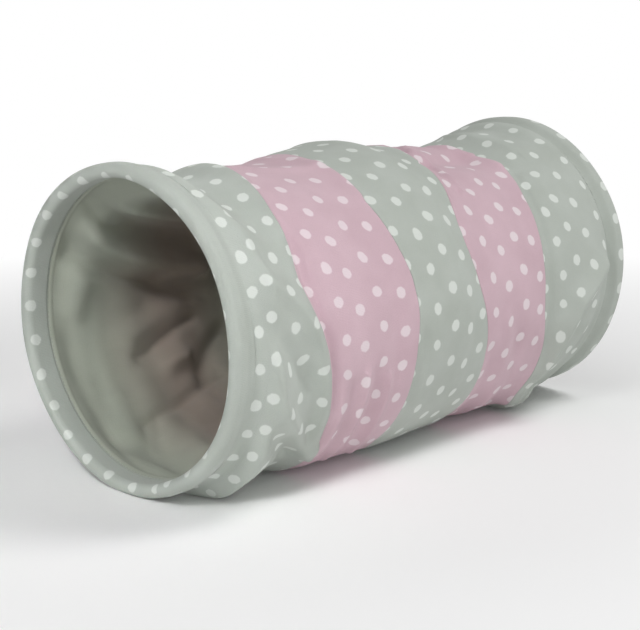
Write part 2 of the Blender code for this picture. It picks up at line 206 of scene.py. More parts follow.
def soft_folds(folds, s, angle):
    """Height of these folds, in metres."""
    x = s * 1000
    total = np.zeros_like(x)
    for path, height, left, right in folds:
        # The short way round from the fold's middle.
        middle = (path[0][1] + path[-1][1]) / 2
        y = ((angle - middle + 180) % 360 - 180 + middle) * MM_PER_DEGREE
        nearest = np.full_like(x, 1e9)
        width = np.full_like(x, left)
        for (x0, a0), (x1, a1) in zip(path, path[1:]):
            dx, dy = x1 - x0, (a1 - a0) * MM_PER_DEGREE
            ox, oy = x - x0, y - a0 * MM_PER_DEGREE
            t = np.clip((ox * dx + oy * dy) / (dx * dx + dy * dy), 0, 1)
            gap = np.hypot(ox - t * dx, oy - t * dy)
            side = ramp((ox * -dy + oy * dx) / math.hypot(dx, dy) / 2 + 0.5)
            width = np.where(gap < nearest, left + (right - left) * side, width)
            nearest = np.minimum(nearest, gap)
        total += height * np.exp(-((nearest / width) ** 2) / 2)
    return total / 1000


# How far in a casing holds the cloth, and over what stretch beyond that it comes free.
HELD_TO = 0.0215
COMES_FREE = 0.022


def free_of_mouths(s):
    """0 where a mouth's casing holds the cloth, 1 where it hangs free."""
    return ramp((s - HELD_TO) / COMES_FREE) * ramp((LENGTH - HELD_TO - s) / COMES_FREE)


# The cloth's ripples: how far apart and how high, in millimetres.
RIPPLES = [(34, 0.9), (13, 0.35)]


def ripples(s, angle):
    """The small unevenness that a limp knit always has."""
    flat = np.empty(s.size)
    reach = MEAN_RADIUS * 1000
    for k, (along, turn) in enumerate(zip(s.ravel(), angle.ravel())):
        a = math.radians(turn)
        spot = Vector((along * 1000, reach * math.cos(a), reach * math.sin(a)))
        flat[k] = sum(height * noise.noise(spot / apart) for apart, height in RIPPLES)
    return flat.reshape(s.shape) / 1000


# Each seam's line at every degree. It is laid three times round, so that its two ends meet smoothly.
every_degree = np.arange(-540.0, 541.0)
seam_lines = []
for line in SEAM_LINES:
    around = [a + turn for turn in (-360, 0, 360) for a, place in line]
    places = np.interp(every_degree, around, [place for turn in range(3) for a, place in line])
    seam_lines.append((every_degree, eased(places, SEAM_EASING) / 1000))


def seam_place(number, angle):
    """Where the seam behind this band lies at this angle."""
    return np.interp((angle + 180) % 360 - 180, *seam_lines[number])


# How much fuller the slack tube is at its two sides, and how much smaller than the mouths at its necks.
SIDE_SWELL = 0.0035
DRAWN_IN = 0.003


def slumped(s, angle, top_line, foot_line):
    """Radius of a slack tube that reaches these lines over and under the axis."""
    turned = (angle - TOP_ANGLE) % 360
    near = FOOT_ANGLE - TOP_ANGLE
    share = np.where(turned <= near, turned / near, (360 - turned) / (360 - near))
    low = (1 - np.cos(np.pi * share)) / 2
    top = np.interp(s * 1000, *top_line) / 1000
    foot = np.interp(s * 1000, *foot_line) / 1000
    radius = top * (1 - low) + foot * low + SIDE_SWELL * np.sin(np.pi * share) ** 2
    held = RING_RADIUS - DRAWN_IN
    return held + (radius - held) * free_of_mouths(s)


# How deep and how wide the cloth dips at a seam, and in the crease in front of the rear casing's roll.
SEAM_DIP = (0.0005, 0.006)
REAR_CREASE = (0.0022, 0.0035)


def dip_at(off, depth, width):
    """How deep a dip is, this far off its middle."""
    return depth * np.exp(-((off / width) ** 2))


def tube_radius(s, angle, with_ripples=True):
    """Distance of the bands' outer face from the axis."""
    free = free_of_mouths(s)
    radius = slumped(s, angle, top_line, foot_line) + soft_folds(FOLDS, s, angle) * free
    for number in range(len(SEAM_LINES)):
        radius = radius - dip_at(s - seam_place(number, angle), *SEAM_DIP)
    radius = radius - dip_at(LENGTH - CASING_WIDTH - s, *REAR_CREASE)
    if with_ripples:
        radius = radius + ripples(s, angle) * free
    return radius


def kept_above(floor, z, bend):
    """These heights, none under the floor: the cloth bends over this far where it settles on it."""
    return np.maximum(z, floor) + np.maximum(bend - np.abs(z - floor), 0) ** 2 / (4 * bend)


# How far the cloth bends over where it settles on the floor: at the casings, and that much more where free.
LEAST_BEND = 0.0001
FREE_BEND = 0.008


def on_tube(s, angle, depth, radius):
    """Points this deep under the bands' outer face, and never under the floor."""
    a = np.radians(angle)
    y = -(radius - depth) * np.sin(a)
    z = (radius - depth) * np.cos(a)
    z = kept_above(depth - AXIS_HEIGHT, z, LEAST_BEND + FREE_BEND * free_of_mouths(s))
    return np.stack([s - LENGTH / 2, y, z + AXIS_HEIGHT], axis=-1)


def cloth_piece(name, points, uvs, thickness):
    """A sheet through a grid of points, its outer face first, thickened inwards."""
    columns, rows = points.shape[:2]
    bm = bmesh.new()
    bmesh.ops.create_grid(bm, x_segments=columns - 1, y_segments=rows - 1, size=0.5)
    spots = {}
    for vertex in bm.verts:
        i = round((vertex.co.x + 0.5) * (columns - 1))
        j = round((vertex.co.y + 0.5) * (rows - 1))
        spots[vertex] = (i, j)
        vertex.co = points[i, j]
    layer = bm.loops.layers.uv.new("UVMap")
    for face in bm.faces:
        face.smooth = True
        for loop in face.loops:
            loop[layer].uv = uvs[spots[loop.vert]]
    mesh = bpy.data.meshes.new(name)
    bm.to_mesh(mesh)
    bm.free()
    obj = bpy.data.objects.new(name, mesh)
    bpy.context.collection.objects.link(obj)
    wall = obj.modifiers.new("thickness", "SOLIDIFY")
    wall.thickness = thickness
    wall.offset = -1
    depsgraph = bpy.context.evaluated_depsgraph_get()
    finished = bpy.data.meshes.new_from_object(obj.evaluated_get(depsgraph))
    obj.modifiers.clear()
    # The cut edges stay crisp, so that they don't shade the cloth beside them.
    finished.set_sharp_from_angle(angle=math.radians(60))
    obj.data = finished
    return obj


def flat_lengths(points):
    """Cloth lengths round and along the sheet at each point, as if it were laid flat."""
    along = np.cumsum(np.linalg.norm(np.diff(points, axis=0, prepend=points[:1]), axis=2), axis=0)
    middle = points[len(points) // 2]
    around = np.cumsum(np.linalg.norm(np.diff(middle, axis=0, prepend=middle[:1]), axis=1))
    return np.broadcast_to(around, along.shape), along


def linear(code):
    """A colour from its sRGB hex code."""
    parts = [int(code[i : i + 2], 16) / 255 for i in (1, 3, 5)]
    return [c / 12.92 if c <= 0.04045 else ((c + 0.055) / 1.055) ** 2.4 for c in parts] + [1.0]


def add(tree, kind, settings=(), links=()):
    """A node with its settings and its inputs' links."""
    made = tree.nodes.new(kind)
    for key, value in dict(settings).items():
        if isinstance(key, str) and hasattr(made, key):
            setattr(made, key, value)
        else:
            made.inputs[key].default_value = value
    for key, source in dict(links).items():
        tree.links.new(source, made.inputs[key])
    return made


def new_material(name):
    """An empty material with its shader, ready for links."""
    material = bpy.data.materials.new(name)
    material.use_nodes = True
    return material, material.node_tree, material.node_tree.nodes["Principled BSDF"]


# A brushed knit's nap is 0.3 mm tufts, drawn at 0.9 mm so that they show: 1100 to the metre. Its colour
# clouds over every 33 mm, which is 30 to the metre.
NAP_SCALE = 1100.0
CLOUD_SCALE = 30.0


def brushed_nap(tree, place):
    """The height of the nap at each spot, and how far the nap and its clouds darken the cloth there."""
    nap = add(tree, "ShaderNodeTexNoise", {"Scale": NAP_SCALE, "Detail": 2.0}, {"Vector": place})
    cloudy = add(tree, "ShaderNodeTexNoise", {"Scale": CLOUD_SCALE, "Detail": 3.0}, {"Vector": place})
    mixed = add(
        tree,
        "ShaderNodeMath",
        {"operation": "MULTIPLY_ADD", 1: 0.35},
        {0: nap.outputs["Fac"], 2: cloudy.outputs["Fac"]},
    )
    return nap.outputs["Fac"], mixed.outputs[0]


def finish_cloth(tree, shader, colour, lumps, bump_strength, sheen):
    """A matt brushed face: no shine to speak of, and a faint bloom where it turns away."""
    bump = add(
        tree, "ShaderNodeBump", {"Strength": bump_strength, "Distance": 0.0004}, {"Height": lumps}
    )
    tree.links.new(colour, shader.inputs["Base Color"])
    tree.links.new(bump.outputs[0], shader.inputs["Normal"])
    shader.inputs["Roughness"].default_value = 0.95
    shader.inputs["Specular IOR Level"].default_value = 0.25
    shader.inputs["Sheen Weight"].default_value = sheen
    shader.inputs["Sheen Roughness"].default_value = 0.6


# Between two dots round the tunnel, and between two rows; a dot's radius, and half the width of its rim.
DOT_PITCH = 0.0275
DOT_COLUMN = 0.0220
DOT_RADIUS = 0.0044
DOT_RIM = 0.0005
# How the print strays: noise of 28 to the metre (every 36 mm) shifts it by about a millimetre, and noise of
# 420 to the metre (every 2.4 mm) makes the dots' rims a little ragged. Each has its scale and its reach.
PRINT_STRAYS = [(28.0, 0.0065), (420.0, 0.0012)]


def printed_knit(name, cloth_code, deep_code, dot_code):
    """Brushed polyester knit with dots printed in rows. The soft nap gives it an even, shadowless face."""
    material, tree, shader = new_material(name)
    uv = add(tree, "ShaderNodeUVMap", {"uv_map": "UVMap"}).outputs[0]
    moved = uv
    for scale, reach in PRINT_STRAYS:
        stray = add(tree, "ShaderNodeTexNoise", {"Scale": scale, "Detail": 1.0}, {"Vector": uv})
        step = stray.outputs["Color"]
        centred = {"operation": "SUBTRACT", 1: (0.5, 0.5, 0.5)}
        for settings in (centred, {"operation": "SCALE", "Scale": reach}):
            step = add(tree, "ShaderNodeVectorMath", settings, {0: step}).outputs[0]
        moved = add(tree, "ShaderNodeVectorMath", {"operation": "ADD"}, {0: moved, 1: step}).outputs[0]
    parts = add(tree, "ShaderNodeSeparateXYZ", links={0: moved})
    near = []
    for number, half in enumerate((DOT_PITCH / 2, DOT_COLUMN / 2)):
        settings = {"operation": "PINGPONG", 1: half}
        near.append(add(tree, "ShaderNodeMath", settings, {0: parts.outputs[number]}).outputs[0])
    spot = add(tree, "ShaderNodeCombineXYZ", links={0: near[0], 1: near[1]})
    nearest = add(tree, "ShaderNodeVectorMath", {"operation": "LENGTH"}, {0: spot.outputs[0]})
    inside = add(
        tree,
        "ShaderNodeMapRange",
        {1: DOT_RADIUS + DOT_RIM, 2: DOT_RADIUS - DOT_RIM, 3: 0.0, 4: 1.0},
        {0: nearest.outputs["Value"]},
    ).outputs[0]
    place = add(tree, "ShaderNodeTexCoord").outputs["Object"]
    nap, mixed = brushed_nap(tree, place)
    depth = add(
        tree, "ShaderNodeMapRange", {1: 0.45, 2: 0.95, 3: 0.0, 4: 1.0}, {0: mixed}
    ).outputs[0]
    ground = add(
        tree,
        "ShaderNodeMix",
        {"data_type": "RGBA", 6: linear(cloth_code), 7: linear(deep_code)},
        {0: depth},
    ).outputs[2]
    colour = add(
        tree, "ShaderNodeMix", {"data_type": "RGBA", 7: linear(dot_code)}, {0: inside, 6: ground}
    ).outputs[2]
    # Knit courses of 0.6 mm, drawn at 1.2 mm so that they show. The wave repeats every 0.314 / scale.
    courses = add(
        tree,
        "ShaderNodeTexWave",
        {"Scale": 260.0, "Distortion": 1.5, "Detail": 1.0, "Detail Scale": 1.5},
        {"Vector": uv},
    ).outputs["Fac"]
    lumps = add(
        tree, "ShaderNodeMath", {"operation": "MULTIPLY_ADD", 1: 0.4}, {0: courses, 2: nap}
    ).outputs[0]
    finish_cloth(tree, shader, colour, lumps, 0.35, 0.12)
    return material


sage_knit = printed_knit("sage_brushed_knit_white_dots", "#B0B6AF", "#A6ACA4", "#CED3CD")
pink_knit = printed_knit("pink_brushed_knit_white_dots", "#C9AEB7", "#BFA3AC", "#DACDD1")

# The rows of the mesh: close together where an edge turns in, 1.9 mm apart between, and 340 points round.
EDGE_STEPS = np.array([0.0, 0.0004, 0.0009, 0.0016, 0.0026, 0.0040])
ROW_STEP = 0.0019
ROUND_STEPS = 340
# Slits that keep two sewn edges from touching: half of one along the tunnel, and in degrees at the join.
HALF_SLIT = 0.00006
JOIN_SLIT = 0.03
# How wide and how deep a sewn edge turns in.
TURN_WIDTH = 0.0010
TURN_DEPTH = 0.0004
# How the print lies on each band: its stretch round the tunnel, its lean in millimetres a degree, and its
# rows of dots, each as its place behind the band's front and its shift round the tunnel in millimetres.
# The rows are as uneven as hand-drawn ones, so no two start level.
PRINTS = [
    (0.955, 0.0, [(-10, 10.2), (5, 20.7), (17, 0.0), (38, 16.6), (58, 19.5), (80, 9.6)]),
    (0.980, -0.3, [(-16, 19.8), (6, 7.4), (24, 26.6), (46, 10.0), (69, 4.2), (91, 17.5), (113, 8.0)]),
    (0.910, -0.1, [(-9, 7.9), (13, 1.2), (33.5, 12.9), (54, 7.2), (73, 15.6), (95, 3.0)]),
    (0.950, -0.08, [(-16, 3.1), (6, 18.7), (27, 8.4), (49, 18.1), (70.5, 11.3), (92, 23.0)]),
    (0.955, 0.0, [(-10, 3.0), (12, 13.5), (30, 23.2), (52, 16.3), (78, 1.4), (100, 12.0)]),
]
# The angle at which a leaning print isn't shifted.
LEAN_FROM = 70
# From one row to the next where the photograph shows no row: along and round the tunnel, in millimetres.
NEXT_ROW = (22, 13)
# Half the breadth of a row. Its dots stay round in it; the cloth between two rows takes up what differs.
HALF_ROW = 0.0055
band_angles = np.linspace(BAND_JOIN - JOIN_SLIT, BAND_JOIN - 360 + JOIN_SLIT, ROUND_STEPS)


def band_edges(number, angle):
    """Where this band's front and back edges lie at these angles."""
    groove = np.full_like(angle, CASING_WIDTH + SEAM_GAP / 2)
    front = seam_place(number - 1, angle) if number else groove
    back = seam_place(number, angle) if number < len(SEAM_LINES) else LENGTH - groove
    return front + HALF_SLIT, back - HALF_SLIT


def turned_in(off):
    """How far a sewn edge dips, this far in from it: the cloth rolls under into the seam."""
    t = np.clip(1 - off / TURN_WIDTH, 0, 1)
    return TURN_DEPTH * (1 - np.sqrt(1 - t**2))


def dot_print(dot_rows, printed):
    """How far the print is shifted round, and where in it these places lie, from its rows of dots."""
    step, shift_on = NEXT_ROW
    (first, first_shift), (last, last_shift) = dot_rows[0], dot_rows[-1]
    # The print runs on to both sides of where the photograph shows it.
    before = [(first - step * k, first_shift - shift_on * k) for k in (3, 2, 1)]
    after = [(last + step * k, last_shift + shift_on * k) for k in (1, 2, 3)]
    places, numbers, shifts = [], [], []
    for k, (place, shift) in enumerate(before + dot_rows + after, -len(before)):
        for half in (-HALF_ROW, HALF_ROW):
            places.append(place / 1000 + half)
            numbers.append(k * DOT_COLUMN + half)
            shifts.append(shift / 1000)
    return np.interp(printed, places, shifts), np.interp(printed, places, numbers)


for number, (label, start, end, body, joint, slot) in enumerate(BANDS):
    front, back = band_edges(number, band_angles)
    middle_steps = math.ceil((back - front).max() / ROW_STEP)
    inner_front, inner_back = front + EDGE_STEPS[-1], back - EDGE_STEPS[-1]
    rows = [front + step for step in EDGE_STEPS]
    for i in range(1, middle_steps):
        rows.append(inner_front + (inner_back - inner_front) * i / middle_steps)
    rows += [back - step for step in EDGE_STEPS[::-1]]
    s = np.array(rows)
    angle = np.broadcast_to(band_angles, s.shape)
    # The near casing's seam is pressed flat, so the first band's front edge doesn't dip.
    off = np.minimum(s - front, back - s) if number else back - s
    off_join = np.minimum(band_angles[0] - angle, angle - band_angles[-1]) * MM_PER_DEGREE / 1000
    dip = np.maximum(turned_in(off), turned_in(off_join))
    points = on_tube(s, angle, 0.0, tube_radius(s, angle) - dip)
    around, along = flat_lengths(points)
    # The print's rows are counted along the cloth from where the band's front would lie if it ran true.
    true_front = [np.interp(start, s[:, k], along[:, k]) for k in range(ROUND_STEPS)]
    level = np.array(true_front) - np.maximum(s[0] - start, 0)
    stretch, lean, dot_rows = PRINTS[number]
    shifted, across = dot_print(dot_rows, along - level + lean * (angle - LEAN_FROM) / 1000)
    uvs = np.stack([around * stretch - shifted, across], axis=-1)
    band = cloth_piece(label + "_band_cloth", points, uvs, KNIT)
    band.data.materials.append(sage_knit if slot == "sage_cloth" else pink_knit)
    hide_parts(label + "_band")
    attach(band, body)
    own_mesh(band)

# THE SEAM THREADS
# Spun polyester sewing thread, run in a lockstitch of about 3 mm along each seam between two bands, down
# each band's own join and along the lining's. It lies sunk in the groove where the two edges turn under.
STITCH = 0.0032
THREAD = 0.0006
# How deep the thread lies in a groove between two bands, how much it sinks and rises at each stitch, and how
# far in from a band's edges its join's thread stops.
THREAD_DEPTH = 0.0012
STITCH_SINKS = 0.00025
JOIN_STOPS = 0.001


def thread_material(name, code):
    """Spun polyester thread: dull, with a faint silk along its twist."""
    material, tree, shader = new_material(name)
    place = add(tree, "ShaderNodeTexCoord").outputs["Object"]
    # Real plies wind round every 0.5 mm. They are drawn at 2.3 mm, so that they show: a diagonal wave repeats
    # every 0.363 / scale.
    plies = add(
        tree,
        "ShaderNodeTexWave",
        {"bands_direction": "DIAGONAL", "Scale": 160.0, "Distortion": 1.0, "Detail": 1.0},
        {"Vector": place},
    ).outputs["Fac"]
    # Painted shade: the hollows between the plies are painted a fifth darker than their crowns.
    crowns = linear(code)
    shaded_hollows = [c * 0.8 for c in crowns[:3]] + [1.0]
    tone = add(
        tree, "ShaderNodeMix", {"data_type": "RGBA", 6: crowns, 7: shaded_hollows}, {0: plies}
    ).outputs[2]
    bump = add(tree, "ShaderNodeBump", {"Strength": 0.4, "Distance": 0.0002}, {"Height": plies})
    tree.links.new(tone, shader.inputs["Base Color"])
    tree.links.new(bump.outputs[0], shader.inputs["Normal"])
    shader.inputs["Roughness"].default_value = 0.7
    shader.inputs["Sheen Weight"].default_value = 0.1
    return material


sewing_thread = thread_material("spun_polyester_thread_sage", "#9FA79C")


def round_strand(name, points, diameter, closed, sides):
    """A round thread or wire along these points, as a mesh."""
    curve = bpy.data.curves.new(name, "CURVE")
    curve.dimensions = "3D"
    curve.bevel_depth = diameter / 2
    curve.bevel_resolution = (sides - 4) // 2
    curve.use_fill_caps = not closed
    spline = curve.splines.new("POLY")
    spline.points.add(len(points) - 1)
    for target, point in zip(spline.points, points):
        target.co = (*point, 1)
    spline.use_cyclic_u = bool(closed)
    drawn = bpy.data.objects.new(name + "_line", curve)
    bpy.context.collection.objects.link(drawn)
    depsgraph = bpy.context.evaluated_depsgraph_get()
    mesh = bpy.data.meshes.new_from_object(drawn.evaluated_get(depsgraph))
    bpy.data.objects.remove(drawn, do_unlink=True)
    mesh.shade_smooth()
    obj = bpy.data.objects.new(name, mesh)
    bpy.context.collection.objects.link(obj)
    return obj


def sewn_line(name, s, angle, depth, radius, body, joint=None, anchor=0.0, keep=FOLDED_BAND):
    """A row of stitches that sinks at each needle hole, in the groove at these places."""
    closed = np.ptp(angle) > 300
    # Four points to a stitch: at a needle hole, half way up, on top and half way down.
    sunk = depth + STITCH_SINKS * np.cos(np.arange(s.size) * math.pi / 2)
    strand = round_strand(name + "_thread", on_tube(s, angle, sunk, radius), THREAD, closed, 4)
    strand.data.materials.append(sewing_thread)
    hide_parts(name + "_stitch")
    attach(strand, body)
    if joint:
        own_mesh(strand)


round_points = 4 * round(2 * math.pi * MEAN_RADIUS / STITCH)
thread_angles = BAND_JOIN - np.arange(round_points) * 360 / round_points
seam_labels = ["front_sage_to_pink", "front_pink_to_middle", "middle_to_rear_pink", "rear_pink_to_sage"]
for number, label in enumerate(seam_labels):
    s = seam_place(number, thread_angles)
    radius = tube_radius(s, thread_angles)
    body, joint = BANDS[number + 1][3:5]
    sewn_line(label, s, thread_angles, THREAD_DEPTH, radius, body, joint, BANDS[number][2])

for number, (label, start, end, body, joint, slot) in enumerate(BANDS):
    front, back = band_edges(number, np.array([BAND_JOIN]))
    stitches = round((back[0] - front[0]) / STITCH)
    s = np.linspace(front[0] + JOIN_STOPS, back[0] - JOIN_STOPS, 4 * stitches + 1)
    angle = np.full_like(s, BAND_JOIN)
    radius = tube_radius(s, angle)
    sewn_line(label + "_join", s, angle, THREAD_DEPTH, radius, body, joint, start)

# THE LINING
# One tube of plain brushed knit that hides the spring. It is sewn only to the two casings, so between
# them it hangs in soft folds towards the bore. Where the pink bands lie behind it, their light coming
# through the thin cloth is painted into its colour as painted light: a warmer, darker tint.
LINING = 0.0012
LINING_FOLDS = [
    ([(24, -45), (36, -52), (50, -58), (65, -63), (85, -68), (110, -73), (140, -78), (170, -81)], 10.0, 7, 6),
    ([(34, -38), (60, -48), (90, -56), (120, -62), (150, -66)], -8.0, 9, 9),
    ([(62, -33), (90, -40), (130, -48)], 6.0, 6, 8),
    ([(24, -62), (36, -68), (50, -73), (70, -77), (90, -82), (115, -86), (135, -91), (165, -97)], -8.0, 6, 8),
    ([(38, -92), (43, -78)], 6.5, 11, 12),
    ([(138, -85), (165, -84)], 6.0, 7, 5),
    ([(90, -109), (108, -106), (128, -102), (165, -99)], 4.5, 7, 9),
    ([(96, -119), (110, -117), (122, -114), (142, -110), (165, -107)], -4.0, 4, 4),
    ([(124, -125), (140, -123)], 8.0, 6, 8),
    ([(158, -131), (170, -125), (184, -119), (200, -114)], -7.0, 9, 7),
    ([(46, -198), (51, -184), (59, -169), (68, -158), (78, -150)], -6.0, 10, 9),
    ([(78, -149), (90, -145), (108, -143), (126, -141), (150, -137), (180, -133)], -5.0, 4, 4),
    ([(82, -180), (94, -168), (108, -160), (126, -151), (150, -146)], 2.8, 8, 7),
    ([(28, -178), (31, -158)], 4.0, 8, 7),
    ([(32, -138), (36, -126)], 5.0, 9, 9),
    ([(54, -146), (62, -134)], 2.5, 8, 8),
    ([(190, -60), (240, -84)], 6.0, 9, 9),
    ([(210, -110), (250, -136)], 6.0, 9, 9),
    ([(60, 40), (110, 62)], 5.0, 9, 9),
    ([(150, 90), (200, 70)], 6.0, 9, 9),
    ([(110, 130), (160, 150)], 5.0, 9, 9),
    ([(260, 30), (310, 60)], 6.0, 10, 10),
    ([(280, -40), (330, -70)], 6.0, 9, 9),
    ([(300, -110), (350, -90)], 5.0, 9, 9),
    ([(240, 110), (300, 140)], 6.0, 10, 10),
    ([(360, 20), (410, 50)], 5.0, 9, 9),
    ([(380, -60), (420, -90)], 5.0, 9, 9),
    ([(370, 120), (420, 100)], 5.0, 9, 9),
    ([(200, 180), (260, 190)], 4.0, 9, 9),
    ([(330, 180), (390, 170)], 4.0, 9, 9),
]
# Its broad droops: depth in millimetres, then place and reach along the tunnel in millimetres and round
# it in degrees.
DROOPS = [
    (5, 95, -76, 43, 9),
    (6, 132, -120, 21, 12),
    (5, 76, 165, 24, 13),
    (5, 213, -75, 28, 14),
    (6, 180, 80, 28, 14),
    (6, 284, 45, 28, 16),
    (5, 322, -100, 28, 14),
    (5, 397, 35, 24, 16),
]
# Between the necks behind the two mouths, at these millimetres, it hangs straight at this height over the
# axis, and doesn't follow the bands' own swells.
FRONT_NECK, REAR_NECK, NECK_HEIGHT = 57, 354, 105.5
heights = top_line[1]
between = (every_mm > FRONT_NECK) & (every_mm < REAR_NECK)
lining_top = (every_mm, np.where(between, np.minimum(heights, NECK_HEIGHT), heights))

# How deep it lies under the bands' outer face, at the casings and where it is free, and how much further it
# hangs slack.
SEWN_DEPTH = 0.0071
FREE_DEPTH = 0.0051
HANGS_SLACK = 0.0050
# Beside its seam to each casing it turns down into the groove, then stands up in a low welt: how deep or high
# each is, how wide, and how far from the seam the welt's middle lies.
LINING_DIP = (0.0012, 0.0009)
LINING_WELT = (0.0005, 0.0013)
WELT_FROM_SEAM = 0.0024


def lining_face(s, angle):
    """Radius and depth of the lining's outer face: inside the spring, and drooping from it."""
    free = free_of_mouths(s)
    depth = SEWN_DEPTH + (FREE_DEPTH - SEWN_DEPTH) * free
    hung = slumped(s, angle, lining_top, foot_line)
    slack = HANGS_SLACK + soft_folds(LINING_FOLDS, s, angle)
    for height, place, turn, reach, spread in DROOPS:
        along = (s * 1000 - place) / reach
        around = ((angle - turn + 180) % 360 - 180) / spread
        slack = slack + height / 1000 * np.exp(-(along**2 + around**2) / 2)
    slack = np.maximum(slack, hung - tube_radius(s, angle, False))
    off = np.minimum(s, LENGTH - s) - CASING_WIDTH - SEAM_GAP / 2
    welt = dip_at(off - WELT_FROM_SEAM, *LINING_WELT) - dip_at(off, *LINING_DIP)
    return hung, depth + slack * free + welt


# The mesh: rows close together beside each seam, 124 rows between, and 300 points round. A slit keeps the
# join's two edges from touching.
LINING_SLIT = 0.02
LINING_EDGE_STEPS = np.array([0.0, 0.0004, 0.0009, 0.0015, 0.0022, 0.0030, 0.0040, 0.0052])
lining_angles = np.linspace(BAND_JOIN - LINING_SLIT, BAND_JOIN - 360 + LINING_SLIT, 300)
edge = CASING_WIDTH + SEAM_GAP / 2 + 0.0001
middle_rows = np.linspace(edge + 0.008, LENGTH - edge - 0.008, 124)
s = np.concatenate([edge + LINING_EDGE_STEPS, middle_rows, LENGTH - edge - LINING_EDGE_STEPS[::-1]])
s = np.broadcast_to(s[:, None], (s.size, lining_angles.size))
angle = np.broadcast_to(lining_angles, s.shape)
radius, depth = lining_face(s, angle)
points = on_tube(s, angle, depth, radius)
around, along = flat_lengths(points)
lining = cloth_piece("lining_cloth_tube", points, np.stack([around, along], axis=-1), LINING)


# The painted light of the pink bands, coming through the lining, starts this far outside their edges, and
# is whole this far inside them.
PAINTED_LIGHT_STARTS = 0.04
PAINTED_LIGHT_WHOLE = 0.03


def plain_knit(name, cloth_code, painted_light_code):
    """Thin brushed knit, unprinted: matt and even. The pink bands' light through the thin cloth is painted in
    as a warmer, darker tint where they lie behind it.
    """
    material, tree, shader = new_material(name)
    place = add(tree, "ShaderNodeTexCoord").outputs["Object"]
    across = add(tree, "ShaderNodeSeparateXYZ", links={0: place}).outputs[0]
    painted_light_masks = []
    # Painted light: one soft ring for each pink band, where its light comes through the cloth.
    for label, start, end, body, joint, slot in BANDS:
        if slot != "pink_cloth":
            continue
        centre, half = (start + end - LENGTH) / 2, (end - start) / 2
        off = add(tree, "ShaderNodeMath", {"operation": "SUBTRACT", 1: centre}, {0: across})
        off = add(tree, "ShaderNodeMath", {"operation": "ABSOLUTE"}, {0: off.outputs[0]})
        fade = {1: half + PAINTED_LIGHT_STARTS, 2: half - PAINTED_LIGHT_WHOLE, 3: 0.0, 4: 1.0}
        painted_light_masks.append(add(tree, "ShaderNodeMapRange", fade, {0: off.outputs[0]}).outputs[0])
    # behind: how much of the pink bands' painted light lies at each place along the tunnel.
    behind = add(tree, "ShaderNodeMath", {"operation": "MAXIMUM"}, {0: painted_light_masks[0], 1: painted_light_masks[1]})
    with_painted_light = add(
        tree,
        "ShaderNodeMix",
        {"data_type": "RGBA", 6: linear(cloth_code), 7: linear(painted_light_code)},
        {0: behind.outputs[0]},
    ).outputs[2]
    nap, mixed = brushed_nap(tree, place)
    shade = add(
        tree, "ShaderNodeMapRange", {1: 0.45, 2: 0.95, 3: 1.0, 4: 0.9}, {0: mixed}
    ).outputs[0]
    colour = add(
        tree, "ShaderNodeVectorMath", {"operation": "SCALE"}, {0: with_painted_light, "Scale": shade}
    ).outputs[0]
    finish_cloth(tree, shader, colour, nap, 0.3, 0.1)
    return material


# The second colour is the painted light of the pink bands through the lining: a warmer, darker tint.
lining.data.materials.append(plain_knit("sage_brushed_knit_plain", "#A2A79A", "#9B8F85"))
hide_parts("lining")
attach(lining, "front_end")
# The share of its length that it keeps when the tunnel is pressed flat, and where it starts to fold.
FOLDED_LINING = 0.0739
FOLDS_FROM = CASING_WIDTH + SEAM_GAP
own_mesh(lining)

# Its join's thread stops this far behind each mouth.
LINING_JOIN_STOPS = 0.0235
stitches = round((LENGTH - 2 * LINING_JOIN_STOPS) / STITCH)
s = np.linspace(LINING_JOIN_STOPS, LENGTH - LINING_JOIN_STOPS, 4 * stitches + 1)
angle = np.full_like(s, BAND_JOIN)
radius, depth = lining_face(s, angle)
folding = ("front_sage_fold", FOLDS_FROM, FOLDED_LINING)
sewn_line("lining_join", s, angle, depth + LINING / 2, radius, "front_end", *folding)

# THE CASINGS
# At each mouth a strip of the dotted sage knit is folded over the spring's end turn and sewn to the
# bands outside and to the lining inside. It is cut so that one row of dots runs round it.

# The radius of the fold over the spring's end turn, and where the strip's two ends meet, at the foot.
NOSE = 0.00565
CASING_JOIN = 162.0
# How each strip lies: its print's stretch round the mouth; how far it falls to the bands, and from what
# depth on.
CASINGS = [("front", 0.9714, 0.003, 0.0095), ("rear", 0.92, 0.0052, 0.0115)]
# Where the row of dots lies on the near casing: degrees from the top, and millimetres in from the strip's
# inner edge. It wanders, and its two ends miss each other at the join.
DOT_ROW = [
    (-198, 21.4), (-183, 20.0), (-168, 19.0), (-141, 18.6), (-128, 16.8), (-114, 15.8), (-101, 15.6),
    (-88, 17.0), (-74, 18.5), (-47, 19.6), (0, 18.6), (162, 18.1),
]
# The same on the far casing, in metres, where it runs true; and how far past the join a row's dots start.
REAR_DOT_ROW = 0.0334
ROW_START = 0.0121
# How deep the thread lies in the seam to the bands and in the strip's join, and how far it is off the floor.
CASING_THREAD_DEPTH = 0.0010
THREAD_OFF_FLOOR = 0.0008
# Between its close rows at the two edges and the round nose, the strip's mesh has 8 rows inside and 10 rows
# outside: where these begin and end, and how far past the nose.
INNER_ROWS_FROM = 0.0148
OUTER_ROWS_TO = 0.0158
PAST_NOSE = 0.001
# The inner edge is drawn in this deep and this wide.
INNER_EDGE_DIP = (0.0010, 0.0012)
# The sewing draws the strip up into fine puckers beside its two edges: how high, over what arc (over 2 pi),
# and how far in from an edge they reach. They come denser and looser round the mouth.
PUCKER = 0.00016
PUCKER_ARC = 0.0011
PUCKER_REACH = 0.005
DENSER_ARC = 0.013
# A slow sway of the whole strip: how high, and over what arc and what width of cloth (both over 2 pi).
SWAY = 0.0003
SWAY_ARC = 0.021
SWAY_WIDTH = 0.009
# How far the strip bends over where it settles on the floor.
CASING_BEND = 0.0012


